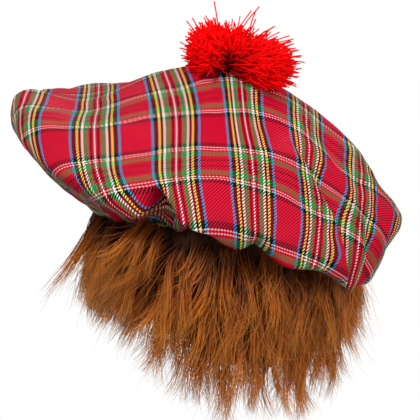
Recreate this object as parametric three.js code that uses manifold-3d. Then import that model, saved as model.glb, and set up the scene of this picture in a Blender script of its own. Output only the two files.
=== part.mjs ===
// Tartan tam o' shanter with a yarn pompom and a skirt of shaggy false hair.
// Millimetres, +Z up. The origin is the centre of the headband's lower edge, where the hat sits on
// a head. Azimuth 0 is +X, the side that the crown slouches to, and 270 is -Y, the side on view.
import * as THREE from "three";
import { mergeVertices } from "three/addons/utils/BufferGeometryUtils.js";
import Module from "manifold-3d";

// Driving dimensions
const BAND_WIDTH = 180;
const BAND_DEPTH = 194;
const BAND_HEIGHT = 28;
const BAND_WALL = 2;
const CLOTH_WALL = 1.6;
const CROWN_RISE = 104; // from the band's upper edge to the top of the crown
const CROWN_OVERHANG = 60; // from the band's outside to the crown's rim, as the tables share it
const CROWN_PEAK_RADIUS = 45; // the stretch of cloth that the pompom's tie pulls up
const APEX_SHIFT_X = 3;
const APEX_SHIFT_Y = -22;
const POMPOM_WIDTH = 88;
const POMPOM_DEPTH = 78;
const POMPOM_HEIGHT = 60;
const POMPOM_TIE_RADIUS = 5;
const POMPOM_LOCK_WIDTH = 17;
const HAIR_LENGTH = 130; // from the band's lower edge to the longest tips
const HAIR_FLARE = 26;
const HAIR_PILE = 7; // how far the roots stand off their backing
const HAIR_BACKING_WALL = 2;
const HAIR_TOP_CLEARANCE = 1.2; // from the crown's hem down to the hair's backing
const GAP = 0.3;

// How finely the soft forms are divided
const CROWN_STATIONS = 19;
const CROWN_RINGS = 8;
const HAIR_LOCKS = 30;
const HAIR_STEPS_PER_LOCK = 4;
const POMPOM_LOCKS = 58;
const POMPOM_LOCK_SIDES = 5;

// The crown is one round of cloth, drawn from its top out over a drooping rim and back to the band.
// A row is a meridian. Reaches are shares of CROWN_OVERHANG outside the band, and heights are shares
// of CROWN_RISE above the band's upper edge.
const CROWN_COLUMNS = ["azimuth", "peakHeight", "shoulderReach", "shoulderHeight", "browReach",
  "browHeight", "rimReach", "rimHeight", "lowReach", "lowHeight", "tuckReach", "tuckHeight"];
const CROWN_ROWS = [
  [0, 0.81, 0.05, 0.44, 0.48, 0.11, 0.75, -0.15, 0.40, -0.33, 0.30, -0.25],
  [30, 0.81, 0.06, 0.38, 0.47, 0.05, 0.76, -0.15, 0.56, -0.37, 0.31, -0.23],
  [60, 0.84, 0.02, 0.57, 0.62, 0.32, 0.83, 0.13, 0.62, -0.08, 0.32, -0.12],
  [90, 0.89, 0.00, 0.70, 0.72, 0.54, 0.90, 0.33, 0.67, 0.10, 0.30, -0.02],
  [120, 0.94, 0.05, 0.74, 0.82, 0.63, 0.98, 0.46, 0.77, 0.21, 0.35, 0.04],
  [150, 0.95, 0.17, 0.74, 0.92, 0.68, 1.07, 0.54, 0.91, 0.31, 0.44, 0.08],
  [180, 0.91, 0.23, 0.71, 1.02, 0.75, 1.08, 0.62, 0.92, 0.42, 0.47, 0.13],
  [210, 0.85, 0.21, 0.70, 0.92, 0.59, 1.09, 0.48, 0.99, 0.37, 0.44, 0.13],
  [240, 0.76, 0.07, 0.56, 0.67, 0.38, 0.87, 0.25, 0.77, 0.15, 0.35, 0.08],
  [270, 0.69, -0.18, 0.53, 0.42, 0.31, 0.64, 0.08, 0.57, -0.05, 0.24, -0.07],
  [300, 0.71, -0.15, 0.46, 0.38, 0.15, 0.60, -0.08, 0.63, -0.24, 0.28, -0.21],
  [330, 0.75, 0.01, 0.35, 0.49, 0.04, 0.66, -0.21, 0.46, -0.50, 0.29, -0.35],
];

// Folds run down the meridians. Depth is a share of CROWN_OVERHANG, inwards, and lift a share of
// CROWN_RISE, upwards. Start, peak and end count the rings: 0 top, 1 peak, 2 shoulder, 3 brow,
// 4 rim, 5 low, 6 tuck, 7 gathers, 8 hem. Lean is in degrees a ring.
const FOLD_COLUMNS = ["azimuth", "halfWidth", "depth", "lift", "start", "peak", "end", "lean"];
const FOLD_ROWS = [
  [253, 6.0, 0.40, 0.19, 2.6, 4.9, 7.0, 3],
  [264, 5.0, 0.00, 0.10, 3.8, 5.4, 7.4, 0],
  [245, 5.0, -0.07, -0.06, 3.2, 5.0, 6.6, 2],
  [263, 6.0, -0.10, -0.03, 2.8, 4.6, 6.0, 1],
  [281, 4.0, 0.13, 0.07, 3.8, 5.0, 7.0, 0],
  [291, 6.0, -0.03, -0.05, 3.6, 5.0, 6.6, 0],
  [314, 5.0, -0.08, -0.08, 2.8, 4.7, 6.4, -2],
  [325, 3.5, 0.23, 0.07, 1.9, 4.2, 6.6, -3],
  [334, 6.0, -0.01, 0.01, 2.6, 4.6, 6.4, -2],
  [347, 7.0, 0.14, 0.06, 3.6, 5.1, 6.8, 0],
  [20, 8.0, 0.10, 0.04, 2.8, 4.8, 7.0, 2],
  [60, 7.0, 0.12, 0.05, 3.0, 4.9, 7.0, -2],
  [98, 9.0, 0.13, 0.05, 2.6, 4.8, 7.0, 3],
  [139, 7.0, 0.13, 0.06, 3.0, 4.9, 7.0, -2],
  [172, 6.0, 0.07, 0.04, 3.6, 5.0, 7.0, 0],
  [205, 8.0, 0.05, 0.03, 3.8, 5.0, 7.0, 2],
];

// Meridians lie closer together where the cloth is folded most: from, to and step in degrees.
const CROWN_SPACING = [[240, 344, 2.6], [344, 600, 6.4]];

// The hair is longest at the front and back and swings out at the left side. Length is a share of
// HAIR_LENGTH, flare a share of HAIR_FLARE.
const HAIR_COLUMNS = ["azimuth", "length", "flare"];
const HAIR_ROWS = [
  [0, 0.54, 0.50],
  [45, 0.78, 0.60],
  [90, 0.96, 0.55],
  [135, 0.72, 0.70],
  [180, 0.40, 0.85],
  [225, 0.52, 0.60],
  [270, 0.90, 0.40],
  [315, 0.85, 0.30],
];

const named = (columns, rows) => rows.map((row) => Object.fromEntries(
  columns.map((column, i) => [column, row[i]])));
const CROWN_TABLE = named(CROWN_COLUMNS, CROWN_ROWS);
const FOLD_TABLE = named(FOLD_COLUMNS, FOLD_ROWS);
const HAIR_TABLE = named(HAIR_COLUMNS, HAIR_ROWS);

const radians = THREE.MathUtils.degToRad;

// The shorter way round from one azimuth to another.
function degreesBetween(from, to) {
  const turn = radians(from - to);
  return THREE.MathUtils.radToDeg(Math.atan2(Math.sin(turn), Math.cos(turn)));
}

// A smooth value from one column of a table whose rows are evenly spaced round the hat.
function aroundTable(table, column, azimuth) {
  const spacing = 360 / table.length;
  const place = THREE.MathUtils.euclideanModulo(azimuth, 360) / spacing;
  const first = Math.floor(place);
  const [before, from, to, after] = [-1, 0, 1, 2].map(
    (k) => table[(first + k + table.length) % table.length][column]);
  const t = place - first;
  return 0.5 * (2 * from + (to - before) * t + (2 * before - 5 * from + 4 * to - after) * t ** 2
    + (3 * from - before - 3 * to + after) * t ** 3);
}

// Radius of the headband's outside at an azimuth.
function bandRadius(azimuth) {
  const across = BAND_DEPTH * Math.cos(radians(azimuth));
  const along = BAND_WIDTH * Math.sin(radians(azimuth));
  return BAND_WIDTH * BAND_DEPTH / 2 / Math.hypot(across, along);
}

function polar(azimuth, radius, height) {
  const angle = radians(azimuth);
  return new THREE.Vector3(radius * Math.cos(angle), radius * Math.sin(angle), height);
}

const apex = new THREE.Vector3(APEX_SHIFT_X, APEX_SHIFT_Y, BAND_HEIGHT + CROWN_RISE);

const hemHeight = BAND_HEIGHT - CLOTH_WALL;
const hairTop = hemHeight - HAIR_TOP_CLEARANCE;

// Where the cloth is pulled up round the tie.
function crownPeak(azimuth) {
  const height = BAND_HEIGHT + aroundTable(CROWN_TABLE, "peakHeight", azimuth) * CROWN_RISE;
  return polar(azimuth, CROWN_PEAK_RADIUS, height).add(new THREE.Vector3(apex.x, apex.y, 0));
}

// One meridian of the crown's outside, before folding. It starts on the far side of the top, so that
// the top is round.
function crownMeridian(azimuth) {
  const value = (column) => aroundTable(CROWN_TABLE, column, azimuth);
  const reach = (column) => bandRadius(azimuth) + value(column) * CROWN_OVERHANG;
  const height = (column) => BAND_HEIGHT + value(column) * CROWN_RISE;
  const hemRadius = bandRadius(azimuth) + GAP;
  const apexAbove = new THREE.Vector3(apex.x, apex.y, 0);
  const points = [
    crownPeak(azimuth + 180),
    apex.clone(),
    crownPeak(azimuth),
    polar(azimuth, reach("shoulderReach"), height("shoulderHeight")).addScaledVector(apexAbove, 0.5),
    polar(azimuth, reach("browReach"), height("browHeight")),
    polar(azimuth, reach("rimReach"), height("rimHeight")),
    polar(azimuth, reach("lowReach"), height("lowHeight")),
    polar(azimuth, reach("tuckReach"), height("tuckHeight")),
    polar(azimuth, hemRadius + 4 * CLOTH_WALL, hemHeight),
    polar(azimuth, hemRadius, hemHeight),
  ];
  const curve = new THREE.CatmullRomCurve3(points, false, "centripetal");
  return (ring) => curve.getPoint((1 + ring) / (1 + CROWN_RINGS));
}

// How far each fold moves a place on the crown.
function foldShift(azimuth, ring) {
  const shift = new THREE.Vector3();
  for (const fold of FOLD_TABLE) {
    const centre = fold.azimuth + fold.lean * (ring - fold.peak);
    const away = degreesBetween(azimuth, centre);
    const rising = THREE.MathUtils.smoothstep(ring, fold.start, fold.peak);
    const falling = 1 - THREE.MathUtils.smoothstep(ring, fold.peak, fold.end);
    const strength = Math.exp(-((away / fold.halfWidth) ** 2)) * rising * falling;
    shift.add(polar(azimuth, -fold.depth * CROWN_OVERHANG * strength,
      fold.lift * CROWN_RISE * strength));
  }
  return shift;
}

function crownAzimuths() {
  return CROWN_SPACING.flatMap(([from, to, step]) => {
    const count = Math.round((to - from) / step);
    return Array.from({ length: count }, (_, i) => from + (to - from) * i / count);
  });
}

function geometryFrom(vertices, triangles) {
  const geometry = new THREE.BufferGeometry();
  const coordinates = vertices.flatMap((vertex) => [vertex.x, vertex.y, vertex.z]);
  geometry.setAttribute("position", new THREE.Float32BufferAttribute(coordinates, 3));
  geometry.setIndex(triangles);
  geometry.computeVertexNormals();
  return geometry;
}

// The crown: an outer face, an inner face one wall inside it, and the cut edge at the hem.
function crownGeometry() {
  const azimuths = crownAzimuths();
  const outer = azimuths.map((azimuth) => {
    const meridian = crownMeridian(azimuth);
    return Array.from({ length: CROWN_STATIONS + 1 }, (_, j) => {
      const ring = CROWN_RINGS * j / CROWN_STATIONS;
      return meridian(ring).add(foldShift(azimuth, ring));
    });
  });
  const columns = outer.length;
  const normalAt = (i, j) => {
    const down = outer[i][Math.min(j + 1, CROWN_STATIONS)].clone().sub(outer[i][Math.max(j - 1, 0)]);
    const next = outer[(i + 1) % columns][j];
    const round = next.clone().sub(outer[(i - 1 + columns) % columns][j]);
    return down.cross(round).normalize();
  };
  const vertices = [apex.clone(), apex.clone().setZ(apex.z - CLOTH_WALL)];
  const index = (i, j, inside) => (j === 0 ? Number(inside)
    : 2 + ((i % columns) * CROWN_STATIONS + j - 1) * 2 + Number(inside));
  for (let i = 0; i < columns; i += 1) {
    for (let j = 1; j <= CROWN_STATIONS; j += 1) {
      const normal = j === CROWN_STATIONS ? new THREE.Vector3(0, 0, -1) : normalAt(i, j);
      vertices.push(outer[i][j], outer[i][j].clone().addScaledVector(normal, -CLOTH_WALL));
    }
  }
  const triangles = [];
  for (let i = 0; i < columns; i += 1) {
    triangles.push(index(i, 0, false), index(i, 1, false), index(i + 1, 1, false));
    triangles.push(index(i, 0, true), index(i + 1, 1, true), index(i, 1, true));
    for (let j = 1; j < CROWN_STATIONS; j += 1) {
      const [a, b, c, d] = [[i, j], [i, j + 1], [i + 1, j + 1], [i + 1, j]];
      const corner = (place, inside) => index(place[0], place[1], inside);
      triangles.push(corner(a, false), corner(b, false), corner(c, false));
      triangles.push(corner(a, false), corner(c, false), corner(d, false));
      triangles.push(corner(a, true), corner(c, true), corner(b, true));
      triangles.push(corner(a, true), corner(d, true), corner(c, true));
    }
    const hem = [index(i, CROWN_STATIONS, false), index(i, CROWN_STATIONS, true),
      index(i + 1, CROWN_STATIONS, true), index(i + 1, CROWN_STATIONS, false)];
    triangles.push(hem[0], hem[1], hem[2], hem[0], hem[2], hem[3]);
  }
  return geometryFrom(vertices, triangles);
}

// The headband: a plain oval hoop of cloth, upright.
function headbandGeometry() {
  const outline = new THREE.Shape();
  outline.absellipse(0, 0, BAND_WIDTH / 2, BAND_DEPTH / 2, 0, 2 * Math.PI);
  const hole = new THREE.Path();
  hole.absellipse(0, 0, BAND_WIDTH / 2 - BAND_WALL, BAND_DEPTH / 2 - BAND_WALL, 0, 2 * Math.PI);
  outline.holes.push(hole);
  return new THREE.ExtrudeGeometry(outline, {
    depth: BAND_HEIGHT, bevelEnabled: false, curveSegments: 32,
  });
}

// The hair: a backing strip round the band with locks that part and taper towards their tips.
function hairGeometry() {
  const columns = HAIR_LOCKS * HAIR_STEPS_PER_LOCK;
  const section = (azimuth, across) => {
    const length = HAIR_LENGTH * aroundTable(HAIR_TABLE, "length", azimuth) * (1 - 0.3 * across);
    const flare = HAIR_FLARE * aroundTable(HAIR_TABLE, "flare", azimuth);
    const root = bandRadius(azimuth) + GAP;
    const face = root + HAIR_BACKING_WALL;
    const ridge = HAIR_PILE * (1 - 0.6 * across);
    return [
      [root, hairTop],
      [root, 0],
      [root + 0.35 * flare, -0.25 * length],
      [root + 0.60 * flare, -0.60 * length],
      [root + 0.55 * flare, -length],
      [root + 0.75 * flare + ridge, -0.72 * length],
      [root + 0.75 * flare + 1.2 * ridge, -0.45 * length],
      [face + 0.45 * flare + 1.1 * ridge, -0.2 * length],
      [face + 0.6 * ridge, 0],
      [face + 0.3 * ridge, 0.9 * hairTop],
      [face, hairTop],
    ];
  };
  const vertices = [];
  for (let i = 0; i < columns; i += 1) {
    const step = i % HAIR_STEPS_PER_LOCK;
    const lock = Math.floor(i / HAIR_STEPS_PER_LOCK);
    const across = Math.abs(2 * step / HAIR_STEPS_PER_LOCK - 1);
    const azimuth = 360 * i / columns;
    const swing = 5 * Math.sin(2.4 * lock);
    for (const [radius, height] of section(azimuth, across)) {
      const hang = Math.max(0, -height) / HAIR_LENGTH;
      vertices.push(polar(azimuth + swing * hang ** 1.5, radius, height));
    }
  }
  const rows = section(0, 0).length;
  const index = (i, j) => (i % columns) * rows + (j % rows);
  const triangles = [];
  for (let i = 0; i < columns; i += 1) {
    for (let j = 0; j < rows; j += 1) {
      triangles.push(index(i, j), index(i + 1, j), index(i + 1, j + 1));
      triangles.push(index(i, j), index(i + 1, j + 1), index(i, j + 1));
    }
  }
  return geometryFrom(vertices, triangles);
}

// Closed geometry to a manifold solid and back.
const wasm = await Module();
wasm.setup();
function solidFrom(geometry) {
  geometry.deleteAttribute("normal");
  geometry.deleteAttribute("uv");
  const merged = mergeVertices(geometry, 1e-4);
  return new wasm.Manifold(new wasm.Mesh({
    numProp: 3,
    vertProperties: new Float32Array(merged.attributes.position.array),
    triVerts: new Uint32Array(merged.index.array),
  }));
}
function geometryFromSolid(solid) {
  const mesh = solid.getMesh();
  const geometry = new THREE.BufferGeometry();
  geometry.setAttribute("position", new THREE.Float32BufferAttribute(mesh.vertProperties, 3));
  geometry.setIndex(Array.from(mesh.triVerts));
  geometry.computeVertexNormals();
  return geometry;
}

// Height of the crown's outside at a place near its top.
function crownTopHeight(x, y) {
  const distance = Math.hypot(x - apex.x, y - apex.y);
  const azimuth = THREE.MathUtils.radToDeg(Math.atan2(y - apex.y, x - apex.x));
  return crownMeridian(azimuth)(distance / CROWN_PEAK_RADIUS).z;
}

// The pompom: a bundle of yarn locks that stand out from a core, tied to the top of the crown. The
// lowest locks lie just above the cloth.
function pompomGeometry() {
  const half = new THREE.Vector3(POMPOM_WIDTH / 2, POMPOM_DEPTH / 2, POMPOM_HEIGHT / 2);
  const centre = new THREE.Vector3(apex.x + 0.12 * POMPOM_WIDTH, apex.y, apex.z + 0.27 * POMPOM_HEIGHT);
  const core = new THREE.IcosahedronGeometry(1, 2);
  core.scale(0.72 * half.x, 0.72 * half.y, 0.48 * half.z);
  core.translate(centre.x, centre.y, centre.z);
  let solid = solidFrom(core);
  const tieAzimuths = [0, 45, 90, 135, 180, 225, 270, 315];
  const seat = GAP + Math.max(...tieAzimuths.map((azimuth) => {
    const edge = polar(azimuth, POMPOM_TIE_RADIUS, 0).add(apex);
    return crownTopHeight(edge.x, edge.y);
  }));
  const tieLength = centre.z - seat;
  const tie = new THREE.CylinderGeometry(POMPOM_TIE_RADIUS, POMPOM_TIE_RADIUS, tieLength, 12);
  tie.rotateX(Math.PI / 2);
  tie.translate(apex.x, apex.y, seat + tieLength / 2);
  solid = solid.add(solidFrom(tie));
  const turn = Math.PI * (3 - Math.sqrt(5));
  for (let i = 0; i < POMPOM_LOCKS; i += 1) {
    const rise = 1 - 1.75 * (i + 0.5) / POMPOM_LOCKS;
    const spread = rise > 0 ? Math.sqrt(1 - rise ** 2) : 1 - 0.3 * rise ** 2;
    const direction = new THREE.Vector3(
      spread * Math.cos(turn * i), spread * Math.sin(turn * i), rise);
    const tip = direction.multiply(half).multiplyScalar(1 - 0.09 * (i % 3));
    const clearance = crownTopHeight(centre.x + tip.x, centre.y + tip.y) + 0.2 * POMPOM_LOCK_WIDTH;
    tip.z = Math.max(tip.z, clearance - centre.z);
    const length = 0.66 * tip.length();
    const lock = new THREE.ConeGeometry(POMPOM_LOCK_WIDTH / 2, length, POMPOM_LOCK_SIDES);
    lock.translate(0, -length / 2, 0);
    lock.applyQuaternion(new THREE.Quaternion().setFromUnitVectors(
      new THREE.Vector3(0, 1, 0), tip.clone().normalize()));
    lock.translate(centre.x + tip.x, centre.y + tip.y, centre.z + tip.z);
    solid = solid.add(solidFrom(lock));
  }
  return geometryFromSolid(solid);
}

const tartanCloth = new THREE.MeshStandardMaterial({ color: 0xb80a26, roughness: 0.85, metalness: 0 });
const bandCloth = new THREE.MeshStandardMaterial({ color: 0x3a0c12, roughness: 0.9, metalness: 0 });
const falseHair = new THREE.MeshStandardMaterial({ color: 0x8a4a1a, roughness: 0.6, metalness: 0 });
const redYarn = new THREE.MeshStandardMaterial({ color: 0xd20608, roughness: 0.8, metalness: 0 });

function piece(name, geometry, material) {
  const mesh = new THREE.Mesh(geometry, material);
  mesh.name = name;
  return mesh;
}

const hat = new THREE.Group();
hat.add(piece("crown", crownGeometry(), tartanCloth));
hat.add(piece("headband", headbandGeometry(), bandCloth));
hat.add(piece("hair", hairGeometry(), falseHair));
hat.add(piece("pompom", pompomGeometry(), redYarn));

export default hat;
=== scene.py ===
"""A tartan tam o' shanter with a yarn pompom and attached false hair, dressed for its render.

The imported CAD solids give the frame: crown, headband, pompom and hair, standing for a hat worn level,
with the opening's centre at the origin and the wearer facing -Y. Each solid is replaced by a finer
piece of the same form, and the hair's by a backing that carries locks of single hairs. Tables of
shape are in millimetres, and everything is turned into metres where a mesh is made.
"""

import math

import bpy
import numpy as np
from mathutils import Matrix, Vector


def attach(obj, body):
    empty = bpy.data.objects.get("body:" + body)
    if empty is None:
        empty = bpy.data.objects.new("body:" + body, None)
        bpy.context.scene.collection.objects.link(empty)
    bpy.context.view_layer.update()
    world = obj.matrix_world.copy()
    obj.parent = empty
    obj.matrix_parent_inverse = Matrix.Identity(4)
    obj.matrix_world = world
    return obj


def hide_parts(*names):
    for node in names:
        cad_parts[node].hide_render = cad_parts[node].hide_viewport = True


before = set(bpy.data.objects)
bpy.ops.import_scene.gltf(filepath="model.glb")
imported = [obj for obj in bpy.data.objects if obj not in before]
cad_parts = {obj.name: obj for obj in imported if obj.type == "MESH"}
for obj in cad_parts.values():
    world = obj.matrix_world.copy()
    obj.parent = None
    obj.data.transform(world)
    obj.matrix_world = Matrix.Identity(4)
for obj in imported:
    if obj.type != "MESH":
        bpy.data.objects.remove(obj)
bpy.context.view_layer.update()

MM = 0.001

# Sizes of the hat, in millimetres, as in its CAD source.
BAND_WIDTH = 180.0
BAND_DEPTH = 194.0
BAND_HEIGHT = 28.0
BAND_WALL = 2.0
CLOTH_WALL = 1.6
CROWN_RISE = 104.0
CROWN_OVERHANG = 60.0
CROWN_PEAK_RADIUS = 45.0
CROWN_TOP_POWER = 1.5
APEX = np.array([3.0, -22.0, BAND_HEIGHT + CROWN_RISE])
HAIR_LENGTH = 130.0
HAIR_FLARE = 26.0
HAIR_BACKING_WALL = 2.0
HAIR_TOP_CLEARANCE = 1.2
GAP = 0.3
HEM_HEIGHT = BAND_HEIGHT - CLOTH_WALL
HEM_TURN = 4 * CLOTH_WALL
HAIR_TOP = HEM_HEIGHT - HAIR_TOP_CLEARANCE

# The crown's meridians, one for each azimuth. Reaches are shares of the overhang past the band,
# and heights are shares of the rise above it.
CROWN_COLUMNS = (
    "azimuth", "peak_height", "shoulder_reach", "shoulder_height", "brow_reach", "brow_height",
    "rim_reach", "rim_height", "low_reach", "low_height", "tuck_reach", "tuck_height",
)
CROWN_ROWS = np.array([
    [0, 0.81, 0.05, 0.44, 0.48, 0.11, 0.75, -0.15, 0.40, -0.33, 0.30, -0.25],
    [30, 0.81, 0.06, 0.38, 0.47, 0.05, 0.76, -0.15, 0.56, -0.37, 0.31, -0.23],
    [60, 0.84, 0.02, 0.57, 0.62, 0.32, 0.83, 0.13, 0.62, -0.08, 0.32, -0.12],
    [90, 0.89, 0.00, 0.70, 0.72, 0.54, 0.90, 0.33, 0.67, 0.10, 0.30, -0.02],
    [120, 0.94, 0.05, 0.74, 0.82, 0.63, 0.98, 0.46, 0.77, 0.21, 0.35, 0.04],
    [150, 0.95, 0.17, 0.74, 0.92, 0.68, 1.07, 0.54, 0.91, 0.31, 0.44, 0.08],
    [180, 0.91, 0.23, 0.71, 1.02, 0.75, 1.08, 0.62, 0.92, 0.42, 0.47, 0.13],
    [210, 0.85, 0.21, 0.70, 0.92, 0.59, 1.09, 0.48, 0.99, 0.37, 0.44, 0.13],
    [240, 0.76, 0.07, 0.56, 0.67, 0.38, 0.87, 0.25, 0.77, 0.15, 0.35, 0.08],
    [270, 0.69, -0.18, 0.53, 0.42, 0.31, 0.64, 0.08, 0.57, -0.05, 0.24, -0.07],
    [300, 0.71, -0.15, 0.46, 0.38, 0.15, 0.60, -0.08, 0.63, -0.24, 0.28, -0.21],
    [330, 0.75, 0.01, 0.35, 0.49, 0.04, 0.66, -0.21, 0.46, -0.50, 0.29, -0.35],
])
CROWN = {name: CROWN_ROWS[:, i] for i, name in enumerate(CROWN_COLUMNS)}

# Rings count along a meridian: 0 top, 1 peak, 2 shoulder, 3 brow, 4 rim, 5 low, 6 tuck, 7 gathers,
# 8 hem. The crown's folds: azimuth, half width in degrees, depth as a share of the overhang, lift as
# a share of the rise, the rings where it starts, is deepest and ends, and its lean per ring.
FOLD_ROWS = (
    (253, 6.0, 0.40, 0.19, 2.6, 4.9, 7.0, 3),
    (264, 5.0, 0.00, 0.10, 3.8, 5.4, 7.4, 0),
    (245, 5.0, -0.07, -0.06, 3.2, 5.0, 6.6, 2),
    (263, 6.0, -0.10, -0.03, 2.8, 4.6, 6.0, 1),
    (281, 4.0, 0.13, 0.07, 3.8, 5.0, 7.0, 0),
    (291, 6.0, -0.03, -0.05, 3.6, 5.0, 6.6, 0),
    (314, 5.0, -0.08, -0.08, 2.8, 4.7, 6.4, -2),
    (325, 3.5, 0.23, 0.07, 1.9, 4.2, 6.6, -3),
    (334, 6.0, -0.01, 0.01, 2.6, 4.6, 6.4, -2),
    (347, 7.0, 0.14, 0.06, 3.6, 5.1, 6.8, 0),
    (20, 8.0, 0.10, 0.04, 2.8, 4.8, 7.0, 2),
    (60, 7.0, 0.12, 0.05, 3.0, 4.9, 7.0, -2),
    (98, 9.0, 0.13, 0.05, 2.6, 4.8, 7.0, 3),
    (139, 7.0, 0.13, 0.06, 3.0, 4.9, 7.0, -2),
    (172, 6.0, 0.07, 0.04, 3.6, 5.0, 7.0, 0),
    (205, 8.0, 0.05, 0.03, 3.8, 5.0, 7.0, 2),
)
# The soft cloth's own relief over those folds: azimuth, half widths before and after it in degrees,
# inward press and lift in millimetres, and rings and lean as above.
CLOTH_FOLDS = (
    (310.5, 9.0, 0.9, -6.0, 0.0, 2.2, 4.0, 5.6, 0),
    (311.5, 0.9, 8.0, 8.0, 0.0, 1.6, 3.4, 5.4, 0),
    (325, 3.5, 3.5, -8.0, -4.0, 1.9, 4.2, 6.6, -3),
    (258, 0.9, 6.0, -5.0, 0.0, 3.0, 4.2, 6.2, 5),
    (251, 8.0, 5.0, 0.0, 12.0, 3.8, 5.6, 7.4, 0),
)
LAST_RING = 8
CROWN_MERIDIANS = 480
CROWN_STATIONS = 150
# The stations crowd slightly towards the hem, and the inner face has every fifth.
STATION_POWER = 0.97
INNER_STEP = 5

BAND_SEGMENTS = 240
BAND_EDGE_STEPS = 7
BAND_SIDE_STEPS = 12

# Slow ripples of the cloth: size in millimetres, seed, number of waves, shortest and longest wave.
RIPPLES = (
    (1.2, 11, 9, 38, 90),
    (0.3, 12, 12, 12, 24),
)
RIPPLED_RINGS = (0.5, 2.0, 6.8, 8.0)
# Pleats round the crown: size in millimetres, their number, and how far and how often they wander.
GATHERS = (1.3, 46, 1.6, 5)
GATHERED_RINGS = (6.0, 7.4, 7.7, 8.0)
TIE_PUCKERS = (0.6, 15, 1.1, 4)
TIE_PUCKER_RING = 0.55
TIE_PUCKER_REACH = 0.45

# How the weave lies on the crown: its turn, and where its lines run past the apex.
WEAVE_TURN = -5.8
WEAVE_ACROSS = 154.5
WEAVE_ALONG = 16.7
# Where the cloth is pulled askew: azimuth, half widths before and after it in degrees, way from the
# apex, half length, and how far its warps and its wefts are moved, in millimetres.
WEAVE_PULLS = (
    (214, 16, 16, 118, 40, 0, 11),
    (190, 8, 8, 110, 30, 0, -11),
    (243, 7, 7, 160, 20, -10, 0),
    (248, 9, 9, 184, 16, -24, 6),
    (240, 4, 4, 156, 13, 5, 0),
    (250.5, 3.2, 2.5, 156, 17, -15, 0),
    (268, 14, 14, 140, 30, 0, -8),
    (304, 10, 10, 138, 25, -2, 6),
    (311, 0.3, 13, 140, 34, 15, 0),
    (311, 9, 0.3, 178, 14, -11, 0),
    (334, 14, 14, 120, 35, 2, 17),
)

# The tartan, from the middle of each sett outward: where a stripe ends, in millimetres, and its yarn.
WARP_STRIPES = (
    (0.5, "white"), (1.8, "red"), (3.0, "black"), (4.1, "red"),
    (7.3, "green"), (9.1, "white"), (10.7, "black"), (12.5, "yellow"),
    (15.3, "black"), (17.2, "blue"), (27.5, "red"),
)
WEFT_STRIPES = (
    (2.0, "red"), (3.4, "black"), (6.8, "red"), (11.5, "green"),
    (13.2, "red"), (14.0, "white"), (15.4, "red"), (16.2, "white"),
    (20.6, "black"), (36.0, "red"),
)
WEFT_START = -14.75
YARN = {
    "red": (0.78, 0.001, 0.040),
    "white": (0.95, 0.93, 0.88),
    "black": (0.002, 0.002, 0.003),
    "green": (0.025, 0.37, 0.09),
    "yellow": (1.0, 0.80, 0.10),
    "blue": (0.012, 0.41, 0.84),
}
# The twill: a thread's width in millimetres, how many make a repeat, the share of it that the warp
# is on top, and how much of the yarn beneath shows through.
THREAD = 0.62
TWILL_REPEAT = 4
WARP_SHARE = 0.5
YARN_BENEATH = 0.25
# How much painted shade darkens the twill's valleys on dark yarns and on pale ones, how much the cloth's slow
# patches of tone darken it, and the tint of both; and the painted shade on its inner face, and its tint.
DARK_YARN_VALLEY_SHADE = 0.8
PALE_YARN_VALLEY_SHADE = 0.2
CLOTH_PATCHES = 0.10
VALLEY_SHADE_AND_PATCH_TINT = (0.12, 0.10, 0.10, 1.0)
INSIDE_SHADE = 0.35
INSIDE_SHADE_TINT = (0.35, 0.25, 0.25, 1.0)
# The band's weave: its pitch in millimetres, and its colours over slow patches.
BAND_PITCH = 0.6
BAND_COLOURS = ((0.3, (0.035, 0.008, 0.010)), (0.7, (0.075, 0.014, 0.018)))

# Colours along a yarn and along a hair from root to tip, darkened by painted shade towards the tie and the
# roots, and across the backing's root fibres, dark with painted shade, with the tints of the darkest yarns
# and hairs and how much each one's own tone, its lock's and its place count.
RED_YARN_SHADED_COLOURS = ((0.0, (0.08, 0.0, 0.001)), (0.3, (0.42, 0.0, 0.001)), (0.7, (1.0, 0.001, 0.002)))
RED_YARN_VARIETY = 0.2
DARK_YARN_TINT = (0.60, 0.45, 0.45, 1.0)
HAIR_COLOURS_SHADED_AT_ROOTS = (
    (0.0, (0.20, 0.05, 0.006)), (0.3, (0.50, 0.13, 0.010)),
    (0.65, (0.96, 0.29, 0.022)), (1.0, (1.0, 0.42, 0.045)),
)
HAIR_VARIETY = 0.45
LOCK_VARIETY = 0.50
PLACE_VARIETY = 0.1
DARK_HAIR_TINT = (0.29, 0.19, 0.10, 1.0)
SHADED_HAIR_ROOT_COLOURS = ((0.35, (0.018, 0.006, 0.002)), (0.7, (0.11, 0.034, 0.010)))

# The hair: azimuth, length and flare as shares of the named ones, and the sideways sweep in degrees.
HAIR_COLUMNS = ("azimuth", "length", "flare", "sweep")
HAIR_ROWS = np.array([
    [0, 0.54, -0.02, -5],
    [45, 0.78, 0.32, 0],
    [90, 0.96, 0.50, 0],
    [135, 0.72, 0.34, 6],
    [180, 0.40, 0.02, 2],
    [225, 0.44, 0.24, -20],
    [270, 0.88, 0.38, -9],
    [315, 0.88, 0.08, -8],
])
HAIR = {name: HAIR_ROWS[:, i] for i, name in enumerate(HAIR_COLUMNS)}
HAIR_SEED = 23
HAIR_LOCKS = 640
HAIRS_PER_LOCK = 22
LOOSE_HAIRS = 1700
HAIR_STEPS = 7
HAIR_PIECES = 4
HAIR_WIDTH = 0.62
HAIR_TAPER = 0.85
HAIR_TAPER_POWER = 1.6
HAIR_KINK = 0.4
# The longest staple, its share of the hair's whole length where that is short, and its spread.
HAIR_STAPLE = 64.0
STAPLE_SHARE = 0.9
STAPLE_SPREAD = 0.07
# The lowest roots lie a little less than a staple above the hair's end, and roots scatter in height.
LOWEST_STAPLE = 0.93
LEAST_DROP = 4.0
ROOT_TOP = HAIR_TOP - 1
ROOT_LIMIT = HAIR_TOP - 0.5
ROOT_SCATTER = 2.5
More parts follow.
